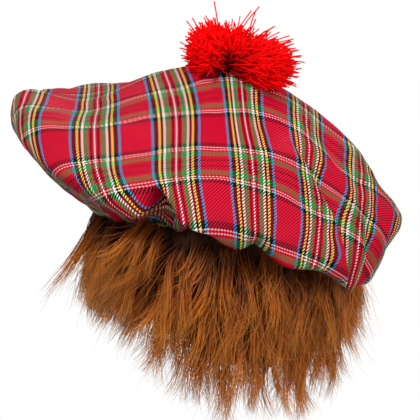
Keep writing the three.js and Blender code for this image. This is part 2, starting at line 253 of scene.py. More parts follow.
# How far a lock may stray: swing, lift and half width in degrees, length and gathering as shares.
LOCK_SWING = 15
LOCK_LIFT = 9
LOCK_WIDTH = (1.3, 3.0)
LOCK_LENGTH = (0.78, 1.10)
LOCK_GATHER = (0.72, 1.0)
# More locks are rooted low on the backing than high.
LOCK_LEVEL_POWER = 0.76
# How far a hair leans outwards at its root and its tip, in degrees, and how much more where it flares.
ROOT_LEAN = (7, 95)
TIP_LEAN = (3, 10)
TIP_LIFT = 0.5
# A hair's own straying at its tip and in its swing, in degrees, and how much more a loose hair strays.
TIP_STRAY = (3, 7)
SWING_STRAY = (4, 20)
# A loose hair is longer, thinner, paler and less gathered, by these shares.
LOOSE_LONGER = 0.15
LOOSE_THINNER = 0.3
LOOSE_PALER = 0.3
LOOSE_FREER = 0.8
# How soon the lean at the root falls away, how much of the swing shows at the root and how much more
# at the tip, how a lock's hairs close in, and the wave that a lock takes.
LEAN_FALL = 4.2
SWING_SHOWN = (0.35, 0.9)
GATHER_POWER = 0.9
LOCK_WAVE = math.radians(13)
LOCK_WAVE_RATE = 5.5
LOCK_WAVE_LEAN = 0.8
# Under the crown's notch the hair stands up and out first and falls in front of the band. All of it
# does so at the top of the backing, and none lower down.
NOTCH_AZIMUTH = 242.0
NOTCH_BEFORE = 22
NOTCH_AFTER = 17
PUFF_LEAN = 150
PUFF_SWING = -14
PUFF_FALL = 2.6
PUFF_LEVELS = (0.1, 0.55)
# Tufts that fly out on their own: azimuth, height, lean at the root and at the tip in degrees,
# sideways swing, length in millimetres and number of hairs.
HAIR_TUFTS = (
    (192, 16, 58, 28, 0, 78, 36),
    (204, 20, 62, 30, -8, 62, 50),
    (187, -6, 38, 14, 0, 46, 34),
    (350, 0, 34, 12, 6, 62, 30),
)
# How far a tuft's hairs stray, in degrees, and their staple, gathering and tone as shares.
TUFT_WIDTH = 2.2
TUFT_ROOT_STRAY = 4
TUFT_TIP_STRAY = 3
TUFT_STAPLE = (0.62, 1.0)
TUFT_GATHER = 0.92
TUFT_TONE = 0.35
# The backing: its share of the hair's flare, how much of a staple its edge lies above the hair's end,
# and the edge's scallops: depth in millimetres, number of pairs, and how far and how often they wander.
BACKING_SEGMENTS = 480
BACKING_FLARE = 0.5
BACKING_STAPLE = 0.8
BACKING_LEAST_DROP = 8.0
BACKING_SCALLOPS = (6, 17, 1.3, 5)
BACKING_THICKNESS = 1.9

POMPOM_SEED = 5
POMPOM_STRANDS = 4600
POMPOM_STEPS = 6
YARN_WIDTH = 1.08
YARN_ROOT_SHARE = 0.6
POMPOM_TIE_RADIUS = 5.0
POMPOM_TIE_HEIGHT = 2.0
# How deep in its lobe a yarn ends, as shares of the half sizes, and how many stand prouder upwards.
YARN_DEPTH = (0.55, 1.04)
PROUD_SHARE = 0.05
PROUD_DEPTH = 0.25
# A yarn that would grow towards the tie turns back. Its middle bulges by a share of its lobe, and a
# yarn that stands out bends at these shares of its tip's place. The roots spread this far round the tie.
FACING_TIE = 0.1
TURNED_BACK = 1.9
YARN_BULGE = 0.34
LOOSE_BEND = (0.6, 0.6, 0.5)
TIE_SPREAD = (0.5 * POMPOM_TIE_RADIUS, 0.5 * POMPOM_TIE_RADIUS, 1.2)
# A yarn's bow, the straying of its tip, its kinks and its height over the crown, in millimetres.
YARN_BOW = 3.0
YARN_STRAY = 1.5
YARN_KINK = 0.45
YARN_LIE = (0.6, 3.0)
STRAND_SIDES = 3
# The pompom's lobes: each one's share of the yarns, its centre past the tie and its half sizes.
POMPOM_LOBES = (
    {"share": 0.38, "centre": (-11.5, 0.0, 9.0), "half": (16.5, 27.0, 20.0)},
    {"share": 0.20, "centre": (6.0, 4.0, 9.0), "half": (18.0, 26.0, 17.0)},
    {"share": 0.42, "centre": (26.0, 0.0, -2.0), "half": (24.5, 29.0, 20.5)},
)
# Yarns that stand out of the pompom: where each tip lies past the tie.
POMPOM_LOOSE = (
    (-9, -4, 46), (-10, 6, 35), (4, -6, 37), (9, -2, 42),
    (14, 2, 39), (18, -3, 38), (22, 3, 37), (24, -5, 35),
    (33, 0, 30), (47, -4, 24), (53, 3, 16), (56, -6, 7),
    (54, 8, -4), (50, -9, -13), (-28, -8, 22), (-32, 4, 12),
)

# The photograph's view: the camera looks along +Y, 12 degrees down.
VIEW_TARGET = Vector((-9.0, 4.05, 19.07)) * MM
VIEW_DISTANCE = 1.8
VIEW_ELEVATION = math.radians(12)
VIEW_WIDTH = 0.315
SENSOR_WIDTH = 36.0
WORLD_LIGHT = 0.37
LIGHTS = (
    {"name": "key", "place": (-0.9, -1.3, 1.9), "size": 0.8, "power": 49},
    {"name": "fill", "place": (1.6, -1.2, 0.7), "size": 1.0, "power": 25},
    {"name": "back", "place": (0.5, 1.5, 1.6), "size": 1.0, "power": 14},
)
LIGHT_TARGET = Vector((0, 0, 0.03))
FLOOR_RADIUS = 1.8
FLOOR_DROP = 1.65
FLOOR_SIDES = 48


def around(column, azimuth):
    """A column's value at any azimuth, on a smooth closed curve through its rows."""
    count = len(column)
    place = (np.asarray(azimuth, float) / (360.0 / count)) % count
    row = np.floor(place).astype(int)
    t = place - row
    a, b, c, d = (column[(row + k) % count] for k in (-1, 0, 1, 2))
    return 0.5 * (
        2 * b + (c - a) * t + (2 * a - 5 * b + 4 * c - d) * t**2 + (3 * b - a - 3 * c + d) * t**3
    )


def azimuths(count):
    """Azimuths in degrees, evenly all round."""
    return np.arange(count) * 360.0 / count


def polar(azimuth, radius, height):
    """Points at an azimuth in degrees, a radius and a height."""
    turn = np.radians(azimuth)
    return np.stack([radius * np.cos(turn), radius * np.sin(turn), height + 0 * radius], -1)


def band_radius(azimuth):
    """The oval opening's radius at an azimuth."""
    turn = np.radians(azimuth)
    return BAND_WIDTH * BAND_DEPTH / 2 / np.hypot(BAND_DEPTH * np.cos(turn), BAND_WIDTH * np.sin(turn))


def smoothstep(value, start, end):
    """Rises smoothly from 0 to 1 between two values."""
    t = np.clip((value - start) / (end - start), 0, 1)
    return t * t * (3 - 2 * t)


def window(value, start, full, fade, end):
    """Rises from 0 to 1 between two values and falls back to 0 between two others."""
    return smoothstep(value, start, full) * (1 - smoothstep(value, fade, end))


def turned(azimuth, centre):
    """How far an azimuth is from another, from -180 to 180 degrees."""
    return (azimuth - centre + 180) % 360 - 180


def bell(azimuth, centre, before, after):
    """A bell over azimuth with its own half width on each side."""
    away = turned(azimuth, centre)
    return np.exp(-((away / np.where(away < 0, before, after)) ** 2))


def meridian_controls(azimuth):
    """The points that each meridian passes through: one beyond the apex, the apex, and down to the hem."""

    def value(name, at=azimuth):
        return around(CROWN[name], at)

    def at_ring(name, share_of_apex):
        reach = band_radius(azimuth) + value(name + "_reach") * CROWN_OVERHANG
        height = BAND_HEIGHT + value(name + "_height") * CROWN_RISE
        return polar(azimuth, reach, height) + above * share_of_apex

    def peak(at):
        height = BAND_HEIGHT + value("peak_height", at) * CROWN_RISE
        return polar(at, np.full(len(at), CROWN_PEAK_RADIUS), height) + above

    above = np.array([APEX[0], APEX[1], 0.0])
    hem = band_radius(azimuth) + GAP
    controls = [
        peak(azimuth + 180),
        np.broadcast_to(APEX, (len(azimuth), 3)),
        peak(azimuth),
        at_ring("shoulder", 0.5),
        at_ring("brow", 0),
        at_ring("rim", 0),
        at_ring("low", 0),
        at_ring("tuck", 0),
        polar(azimuth, hem + HEM_TURN, HEM_HEIGHT),
        polar(azimuth, hem, HEM_HEIGHT),
    ]
    return np.stack(controls, 1)


def spline(points, places):
    """Centripetal Catmull-Rom curves through rows of points."""
    count = points.shape[1]
    first = 2 * points[:, :1] - points[:, 1:2]
    last = 2 * points[:, -1:] - points[:, -2:-1]
    extended = np.concatenate([first, points, last], 1)
    part = np.clip(np.floor(places).astype(int), 0, count - 2)
    t = (places - part)[None, :, None]
    p0, p1, p2, p3 = (extended[:, part + k] for k in range(4))

    def knot(a, b):
        return np.maximum(np.sum((a - b) ** 2, -1) ** 0.25, 1e-4)[..., None]

    d0, d1, d2 = knot(p0, p1), knot(p1, p2), knot(p2, p3)
    start = ((p1 - p0) / d0 - (p2 - p0) / (d0 + d1) + (p2 - p1) / d1) * d1
    end = ((p2 - p1) / d1 - (p3 - p1) / (d1 + d2) + (p3 - p2) / d2) * d1
    return (
        p1
        + start * t
        + (-3 * p1 + 3 * p2 - 2 * start - end) * t**2
        + (2 * p1 - 2 * p2 + start + end) * t**3
    )


def folded(points, azimuth, ring):
    """The crown's points with each row's fold pressed in."""
    for centre, half, depth, lift, start, deepest, end, lean in FOLD_ROWS:
        line = centre + lean * (ring - deepest)
        away = turned(azimuth[:, None], line[None])
        press = np.exp(-((away / half) ** 2)) * window(ring, start, deepest, deepest, end)
        around_it = np.broadcast_to(azimuth[:, None], press.shape)
        points = points + polar(around_it, -depth * CROWN_OVERHANG * press, lift * CROWN_RISE * press)
    return points


def relieved(points, azimuth, ring):
    """The crown's points with the soft cloth's own creases, which are steeper on one side."""
    for centre, before, after, press, lift, start, deepest, end, lean in CLOTH_FOLDS:
        line = centre + lean * (ring - deepest)
        share = bell(azimuth[:, None], line[None], before, after) * window(ring, start, deepest, deepest, end)
        around_it = np.broadcast_to(azimuth[:, None], share.shape)
        points = points + polar(around_it, -press * share, lift * share)
    return points


def grid_normals(points):
    """Outward normals of a grid that closes around its first axis."""
    along = np.gradient(points, axis=1)
    about = np.roll(points, -1, 0) - np.roll(points, 1, 0)
    normal = np.cross(about, along)
    length = np.linalg.norm(normal, axis=-1, keepdims=True)
    normal = normal / np.maximum(length, 1e-9)
    normal[:, 0] = (0, 0, 1)
    return -normal if normal[:, 1, 2].mean() < 0 else normal


def waves(a, b, seed, count, low, high):
    """A sum of waves over two coordinates, about -1 to 1 in size, the same each run."""
    chance = np.random.default_rng(seed)
    total = np.zeros(np.broadcast(a, b).shape)
    for _ in range(count):
        turn, phase = chance.uniform(0, 2 * math.pi, 2)
        size = chance.uniform(low, high)
        total = total + np.sin(2 * math.pi * (a * math.cos(turn) + b * math.sin(turn)) / size + phase)
    return total / math.sqrt(count)


def pleats(angle, size, count, wander, turns):
    """Waves round the crown whose spacing wanders."""
    return size * np.sin(count * angle + wander * np.sin(turns * angle))


def crown_surface():
    """The crown's outer face: azimuths, rings, points and each point's way from the apex."""
    azimuth = azimuths(CROWN_MERIDIANS)
    ring = LAST_RING * np.linspace(0, 1, CROWN_STATIONS) ** STATION_POWER
    points = folded(spline(meridian_controls(azimuth), ring + 1), azimuth, ring)
    points = relieved(points, azimuth, ring)
    steps = np.linalg.norm(np.diff(points, axis=1), axis=-1)
    way = np.concatenate([np.zeros((len(azimuth), 1)), np.cumsum(steps, 1)], 1)
    return azimuth, ring, points, way


def weave_coordinates(azimuth, way):
    """Where each point lies on the flat cloth, across its warps and along them, and across the twill."""
    turn = np.radians(azimuth[:, None] + WEAVE_TURN)
    across = way * np.cos(turn) + WEAVE_ACROSS
    along = way * np.sin(turn) + WEAVE_ALONG
    twill = across - along
    for centre, before, after, middle, length, pull_across, pull_along in WEAVE_PULLS:
        share = bell(azimuth[:, None], centre, before, after) * np.exp(-(((way - middle) / length) ** 2))
        across = across + pull_across * share
        along = along + pull_along * share
    return across, along, twill


def placed(name, data):
    """A new object in the scene."""
    made = bpy.data.objects.new(name, data)
    bpy.context.scene.collection.objects.link(made)
    return made


def mesh_piece(name, points, faces, material, attributes=None):
    """A smooth-shaded mesh object from points in millimetres and groups of faces."""
    mesh = bpy.data.meshes.new(name)
    mesh.vertices.add(len(points))
    mesh.vertices.foreach_set("co", (points * MM).astype(np.float32).ravel())
    corners = np.concatenate([f.ravel() for f in faces])
    totals = np.concatenate([np.full(len(f), f.shape[1]) for f in faces])
    mesh.loops.add(len(corners))
    mesh.loops.foreach_set("vertex_index", corners.astype(np.int32))
    mesh.polygons.add(len(totals))
    mesh.polygons.foreach_set("loop_start", np.concatenate([[0], np.cumsum(totals)[:-1]]).astype(np.int32))
    mesh.polygons.foreach_set("loop_total", totals.astype(np.int32))
    mesh.polygons.foreach_set("use_smooth", np.ones(len(totals), bool))
    mesh.update(calc_edges=True)
    for key, values in (attributes or {}).items():
        kind = "FLOAT" if values.ndim == 1 else "FLOAT_VECTOR"
        field = "value" if values.ndim == 1 else "vector"
        layer = mesh.attributes.new(key, kind, "POINT")
        layer.data.foreach_set(field, values.astype(np.float32).ravel())
    mesh.materials.append(material)
    return placed(name, mesh)


def strip_faces(first, second):
    """Quads between two closed loops of vertex numbers."""
    return np.stack([first, np.roll(first, -1), np.roll(second, -1), second], -1)


def hoop_faces(loops, count):
    """Quads of a hoop: each loop of points is joined to the next, and the last to the first."""
    numbers = np.arange(loops * count).reshape(loops, count)
    return np.concatenate([strip_faces(numbers[i], numbers[(i + 1) % loops]) for i in range(loops)])


def crown_relief(azimuth, ring, across, along):
    """How far the cloth stands off its smooth surface: ripples, gathers and puckers."""
    angle = np.radians(azimuth)[:, None]
    relief = np.zeros_like(across)
    for size, seed, count, shortest, longest in RIPPLES:
        ripple = size * waves(across, along, seed, count, shortest, longest)
        relief = relief + ripple * window(ring, *RIPPLED_RINGS)
    relief = relief + pleats(angle, *GATHERS) * window(ring, *GATHERED_RINGS)
    near_tie = np.exp(-((ring - TIE_PUCKER_RING) / TIE_PUCKER_REACH) ** 2)
    return relief + pleats(angle, *TIE_PUCKERS) * near_tie


def from_apex(grid):
    """A grid's points in one list: the apex once, then each loop round it."""
    return np.concatenate([grid[:1, 0], grid[:, 1:].transpose(1, 0, 2).reshape(-1, 3)])


def sheet_area(points):
    """The area of a grid of points."""
    edges = np.cross(np.diff(points, axis=0)[:, 1:], np.diff(points, axis=1)[1:])
    return float(np.linalg.norm(edges, axis=-1).sum())


def build_crown(material):
    """The tartan crown: its outer face, its inner face and the hem's edge, in one closed sheet."""
    azimuth, ring, points, way = crown_surface()
    across, along, twill = weave_coordinates(azimuth, way)
    relief = crown_relief(azimuth, ring, across, along)
    outer = points + grid_normals(points) * relief[..., None]
    kept = np.unique(np.append(np.arange(0, CROWN_STATIONS, INNER_STEP), CROWN_STATIONS - 1))
    inner = (outer - grid_normals(outer) * CLOTH_WALL)[:, kept]
    flat = np.stack([across, along, twill], -1) * MM
    places = np.concatenate([from_apex(outer), from_apex(inner)])
    woven = np.concatenate([from_apex(flat), from_apex(flat[:, kept])])

    count = CROWN_MERIDIANS
    outer_loops = 1 + np.arange((CROWN_STATIONS - 1) * count).reshape(-1, count)
    inner_apex = 1 + outer_loops.size
    inner_loops = inner_apex + 1 + np.arange((len(kept) - 1) * count).reshape(-1, count)
    quads = [strip_faces(b, a) for a, b in zip(outer_loops[:-1], outer_loops[1:])]
    quads += [strip_faces(a, b) for a, b in zip(inner_loops[:-1], inner_loops[1:])]
    quads.append(strip_faces(inner_loops[-1], outer_loops[-1]))
    first, lowest = outer_loops[0], inner_loops[0]
    caps = [
        np.stack([np.zeros(count, int), first, np.roll(first, -1)], -1),
        np.stack([np.full(count, inner_apex), np.roll(lowest, -1), lowest], -1),
    ]
    inside = (np.arange(len(places)) >= inner_apex).astype(float)
    faces = [np.concatenate(quads), np.concatenate(caps)]
    piece = mesh_piece("crown_cloth", places, faces, material, {"weave": woven, "inside": inside})
    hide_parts("crown")
    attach(piece, "root")
    return piece, sheet_area(points) * MM * MM


def band_profile():
    """The band's section, with soft edges: offsets from its outer face and heights."""
    half = BAND_WALL / 2
    profile = []
    for turn in np.linspace(0, math.pi, BAND_EDGE_STEPS):
        profile.append((-half + half * math.cos(turn), BAND_HEIGHT - half + half * math.sin(turn)))
    for height in np.linspace(BAND_HEIGHT - half, half, BAND_SIDE_STEPS)[1:-1]:
        profile.append((-BAND_WALL, height))
    for turn in np.linspace(math.pi, 2 * math.pi, BAND_EDGE_STEPS):
        profile.append((-half + half * math.cos(turn), half + half * math.sin(turn)))
    for height in np.linspace(half, BAND_HEIGHT - half, BAND_SIDE_STEPS)[1:-1]:
        profile.append((0.0, height))
    return profile


def build_headband(material):
    """The band that the head sits in: a folded strip of cloth with soft edges."""
    count = BAND_SEGMENTS
    azimuth = azimuths(count)
    profile = band_profile()
    loops = [polar(azimuth, band_radius(azimuth) + off, np.full(count, height)) for off, height in profile]
    way = np.concatenate([[0], np.cumsum(np.linalg.norm(np.diff(loops[0], axis=0), axis=1))])
    woven = [np.stack([way, np.full(count, height), np.zeros(count)], -1) for _, height in profile]
    attributes = {"weave": np.concatenate(woven) * MM}
    faces = [hoop_faces(len(loops), count)]
    piece = mesh_piece("headband_cloth", np.concatenate(loops), faces, material, attributes)
    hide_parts("headband")
    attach(piece, "root")
    return piece, float(way[-1]) * MM


def tubes(paths, radii):
    """Closed tapered tubes round many paths at once: points and faces."""
    count, steps = paths.shape[:2]
    sides = STRAND_SIDES
    ahead = np.gradient(paths, axis=1)
    ahead = ahead / np.maximum(np.linalg.norm(ahead, axis=-1, keepdims=True), 1e-9)
    up = np.where(np.abs(ahead[..., 2:3]) > 0.9, (1.0, 0.0, 0.0), (0.0, 0.0, 1.0))
    side = np.cross(ahead, up)
    side = side / np.maximum(np.linalg.norm(side, axis=-1, keepdims=True), 1e-9)
    other = np.cross(side, ahead)
    turns = np.arange(sides) * 2 * math.pi / sides
    ring = side[:, :, None] * np.cos(turns)[:, None] + other[:, :, None] * np.sin(turns)[:, None]
    points = paths[:, :, None] + ring * radii[:, :, None, None]
    numbers = np.arange(count * steps * sides).reshape(count, steps, sides)
    near, far = numbers[:, :-1], numbers[:, 1:]
    quads = np.stack([near, np.roll(near, -1, 2), np.roll(far, -1, 2), far], -1).reshape(-1, 4)
    caps = np.concatenate([numbers[:, 0, ::-1], numbers[:, -1]])
    return points.reshape(-1, 3), [quads, caps]


def per_point(values, steps):
    """A value for each path, or for each of its steps, repeated for each point of its tube."""
    each_step = np.broadcast_to(values.reshape(len(values), -1), (len(values), steps))
    return np.repeat(each_step, STRAND_SIDES, 1).ravel()


def crown_top(places):
    """The crown's height under places near its apex."""
    off = places - APEX
    azimuth = np.degrees(np.arctan2(off[..., 1], off[..., 0]))
    drop = CROWN_RISE * (1 - around(CROWN["peak_height"], azimuth))
    return APEX[2] - drop * (np.hypot(off[..., 0], off[..., 1]) / CROWN_PEAK_RADIUS) ** CROWN_TOP_POWER


def pompom_paths():
    """The pompom's yarns: they leave the tie, curve round one of its lobes and end at its outside."""
    chance = np.random.default_rng(POMPOM_SEED)
    count = POMPOM_STRANDS
    tie = APEX + np.array([0.0, 0.0, POMPOM_TIE_HEIGHT])
    loose = np.array(POMPOM_LOOSE)
    shares = np.cumsum([row["share"] for row in POMPOM_LOBES])
    lobe = np.searchsorted(shares[:-1], chance.uniform(0, 1, count))
    centre = tie + np.array([row["centre"] for row in POMPOM_LOBES])[lobe]
    half = np.array([row["half"] for row in POMPOM_LOBES])[lobe]
    way = chance.normal(0, 1, (count, 3))
    way = way / np.linalg.norm(way, axis=1, keepdims=True)
    inward = (tie - centre) / np.linalg.norm(tie - centre, axis=1, keepdims=True)
    toward_tie = np.sum(way * inward, 1)
    way = way - inward * (np.maximum(toward_tie - FACING_TIE, 0) * TURNED_BACK)[:, None]
    way = way / np.linalg.norm(way, axis=1, keepdims=True)
    depth = chance.uniform(*YARN_DEPTH, count)
    proud = chance.uniform(0, 1, count) < PROUD_SHARE
    depth = np.where(proud, depth + PROUD_DEPTH * np.maximum(way[:, 2], 0), depth)
    tips = centre + way * half * depth[:, None]
    tips[: len(loose)] = tie + loose
    bends = 0.5 * (tie + tips) + way * half * (YARN_BULGE * depth)[:, None]
    bends[: len(loose)] = tie + loose * LOOSE_BEND
    roots = tie + chance.normal(0, 1, (count, 3)) * TIE_SPREAD
    t = np.linspace(0, 1, POMPOM_STEPS)[None, :, None]
    paths = roots[:, None] * (1 - t) ** 2 + 2 * bends[:, None] * t * (1 - t) + tips[:, None] * t**2
    paths = paths + chance.normal(0, YARN_BOW, (count, 1, 3)) * np.sin(t * math.pi * 1.4)
    paths = paths + chance.normal(0, YARN_STRAY, (count, 1, 3)) * t**2
    paths = paths + chance.normal(0, YARN_KINK, paths.shape) * t
    paths[..., 2] = np.maximum(paths[..., 2], crown_top(paths) + chance.uniform(*YARN_LIE, (count, 1)))
    return paths, chance.uniform(0, 1, count)


def build_pompom(material):
    """The pompom: many cut yarns tied at the crown's apex."""
    paths, tone = pompom_paths()
    along = np.broadcast_to(np.linspace(0, 1, POMPOM_STEPS), paths.shape[:2])
    swelling = (1 - YARN_ROOT_SHARE) * smoothstep(along, 0, 0.5)
    radii = 0.5 * YARN_WIDTH * (YARN_ROOT_SHARE + swelling)
    points, faces = tubes(paths, radii)
    attributes = {"tone": per_point(tone, POMPOM_STEPS), "along": per_point(along, POMPOM_STEPS)}
    piece = mesh_piece("pompom_yarn", points, faces, material, attributes)
    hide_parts("pompom")
    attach(piece, "root")


def hair_lengths(azimuth):
    """The hair's whole length at an azimuth, and its staple there."""
    length = HAIR_LENGTH * around(HAIR["length"], azimuth)
    return length, np.minimum(HAIR_STAPLE, STAPLE_SHARE * length)


def hair_wall(azimuth, height):
    """The radius of the backing that the hair grows from, which hangs below the band."""
    length, _ = hair_lengths(azimuth)
    hang = np.clip(-height / length, 0, 1)
    flare = HAIR_FLARE * around(HAIR["flare"], azimuth) * BACKING_FLARE * hang
    return band_radius(azimuth) + GAP + HAIR_BACKING_WALL + flare


def hair_roots(chance):
    """Each hair's root, lean, swing, staple and tone, lock by lock."""
    locks = HAIR_LOCKS
    lock = {
        "azimuth": (np.arange(locks) + chance.uniform(0, 1, locks)) * 360.0 / locks,
        "level": chance.uniform(0, 1, locks) ** LOCK_LEVEL_POWER,
        "swing": chance.normal(0, LOCK_SWING, locks),
        "lift": chance.normal(0, LOCK_LIFT, locks),
        "length": chance.uniform(*LOCK_LENGTH, locks),
        "tone": chance.uniform(0, 1, locks),
        "phase": chance.uniform(0, 2 * math.pi, locks),
        "gather": chance.uniform(*LOCK_GATHER, locks),
        "width": chance.uniform(*LOCK_WIDTH, locks),
    }
    locked = np.repeat(np.arange(locks), HAIRS_PER_LOCK)
    own = np.concatenate([locked, chance.integers(0, locks, LOOSE_HAIRS)])
    count = len(own)
    loose = (np.arange(count) >= len(locked)).astype(float)
    of_lock = {key: values[own] for key, values in lock.items()}
    off = chance.normal(0, 1, count) * of_lock["width"]
    azimuth = of_lock["azimuth"] + off
    level = of_lock["level"]
    flare = around(HAIR["flare"], azimuth)
    longest, staple = hair_lengths(azimuth)
    staple = staple * of_lock["length"] * chance.normal(1.0, STAPLE_SPREAD, count)
    staple = staple * (1 + LOOSE_LONGER * loose)
    lowest = -np.maximum(longest - LOWEST_STAPLE * staple, LEAST_DROP)
    height = ROOT_TOP * (1 - level) + lowest * level + chance.normal(0, ROOT_SCATTER, count)
    puff = bell(azimuth, NOTCH_AZIMUTH, NOTCH_BEFORE, NOTCH_AFTER) * (1 - smoothstep(level, *PUFF_LEVELS))
    start = ROOT_LEAN[0] + ROOT_LEAN[1] * flare + of_lock["lift"]
    end = TIP_LEAN[0] + TIP_LEAN[1] * flare + TIP_LIFT * of_lock["lift"]
    swing = around(HAIR["sweep"], azimuth) + PUFF_SWING * puff + of_lock["swing"]
    return {
        "middle": of_lock["azimuth"],
        "off": off,
        "height": np.minimum(height, ROOT_LIMIT),
        "start": start + (PUFF_LEAN - start) * puff,
        "puff": puff,
        "end": end + chance.normal(0, TIP_STRAY[0] + TIP_STRAY[1] * loose, count),
        "swing": swing + chance.normal(0, SWING_STRAY[0] + SWING_STRAY[1] * loose, count),
        "thin": 1 - LOOSE_THINNER * loose,
        "staple": staple,
        "phase": of_lock["phase"],
        "gather": of_lock["gather"] * (1 - LOOSE_FREER * loose),
        "tone": chance.uniform(0, 1, count) - LOOSE_PALER * loose,
        "lock_tone": of_lock["tone"],
    }


def tuft_roots(chance):
    """The same values for the tufts that fly out on their own."""
    columns = np.array(HAIR_TUFTS, float)
    azimuth, height, start, end, swing, length, _ = np.repeat(columns, columns[:, 6].astype(int), 0).T
    count = len(azimuth)
    return {
        "middle": azimuth,
        "off": chance.normal(0, TUFT_WIDTH, count),
        "height": height + chance.normal(0, ROOT_SCATTER, count),
        "start": start + chance.normal(0, TUFT_ROOT_STRAY, count),
        "puff": np.zeros(count),
        "end": end + chance.normal(0, TUFT_TIP_STRAY, count),
        "swing": swing + chance.normal(0, TUFT_TIP_STRAY, count),
        "staple": length * chance.uniform(*TUFT_STAPLE, count),
        "phase": azimuth,
        "gather": np.full(count, TUFT_GATHER),
        "thin": np.ones(count),
        "tone": chance.uniform(0, 1, count),
        "lock_tone": np.full(count, TUFT_TONE),
    }


def hair_paths():
    """The false hair's paths, and for each hair its width, its tone and its lock's tone."""
    chance = np.random.default_rng(HAIR_SEED)
    locks, tufts = hair_roots(chance), tuft_roots(chance)
    hair = {key: np.concatenate([locks[key], tufts[key]]) for key in locks}
    count = len(hair["off"])
    t = np.linspace(0, 1, HAIR_STEPS)[None, :]
    puff = hair["puff"][:, None]
    fall = np.exp(-LEAN_FALL * t) * (1 - puff) + np.exp(-((PUFF_FALL * t) ** 2)) * puff
    lean = np.radians(hair["end"][:, None] + (hair["start"] - hair["end"])[:, None] * fall)
    turn = np.radians(hair["swing"][:, None] * (SWING_SHOWN[0] + SWING_SHOWN[1] * t))
    wave = LOCK_WAVE * np.sin(LOCK_WAVE_RATE * t + hair["phase"][:, None])
    lean = lean + wave * LOCK_WAVE_LEAN
    turn = turn + wave
    step = (hair["staple"] / (HAIR_STEPS - 1))[:, None]

    def walked(rate):
        moved = np.cumsum(0.5 * (rate[:, 1:] + rate[:, :-1]) * step, 1)
        return np.concatenate([np.zeros((count, 1)), moved], 1)

    height = hair["height"]
    azimuth = hair["middle"] + hair["off"]
    outward = walked(np.sin(lean)) + hair_wall(azimuth, height)[:, None]
    drop = height[:, None] - walked(np.cos(lean) * np.cos(turn))
    sideways = walked(np.cos(lean) * np.sin(turn))
    together = 1 - hair["gather"][:, None] * t**GATHER_POWER
    angle = hair["middle"][:, None] + hair["off"][:, None] * together
    paths = polar(angle + np.degrees(sideways / np.maximum(outward, 1)), outward, drop)
    paths = paths + chance.normal(0, HAIR_KINK, paths.shape) * t[..., None]
    return paths, HAIR_WIDTH * hair["thin"], hair["tone"], hair["lock_tone"]


def build_hair(material):
    """The false hair's locks, in a few pieces that each stay light enough."""
    paths, width, tone, lock_tone = hair_paths()
    along = np.broadcast_to(np.linspace(0, 1, HAIR_STEPS), paths.shape[:2])
    radii = 0.5 * width[:, None] * (1 - HAIR_TAPER * along**HAIR_TAPER_POWER)
    for part in range(HAIR_PIECES):
        chosen = slice(part, None, HAIR_PIECES)
        points, faces = tubes(paths[chosen], radii[chosen])
        attributes = {
            "tone": per_point(tone[chosen], HAIR_STEPS),
            "lock_tone": per_point(lock_tone[chosen], HAIR_STEPS),
            "along": per_point(along[chosen], HAIR_STEPS),
        }
        piece = mesh_piece(f"hair_locks_{part + 1}", points, faces, material, attributes)
        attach(piece, "root")


def backing_loops(azimuth):
    """The backing's loops: down its outer face from the crown's hem, and up its inner face."""
    scallop = np.abs(pleats(np.radians(azimuth), *BACKING_SCALLOPS))
    length, staple = hair_lengths(azimuth)
    lowest = -np.maximum(length - BACKING_STAPLE * staple, BACKING_LEAST_DROP) - scallop
    levels = [np.full_like(length, HAIR_TOP * share) for share in (1.0, 0.5, 0.0)]
    levels += [lowest * share for share in (0.25, 0.5, 0.75, 1.0)]
    outer = [polar(azimuth, hair_wall(azimuth, height), height) for height in levels]
    inner = [polar(azimuth, hair_wall(azimuth, height) - BACKING_THICKNESS, height) for height in levels]
    return outer + inner[::-1]


def build_hair_base(material):
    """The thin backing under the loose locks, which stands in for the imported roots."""
    azimuth = azimuths(BACKING_SEGMENTS)
    loops = backing_loops(azimuth)
    faces = [hoop_faces(len(loops), BACKING_SEGMENTS)]
    piece = mesh_piece("hair_base", np.concatenate(loops), faces, material)
    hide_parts("hair")
    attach(piece, "root")


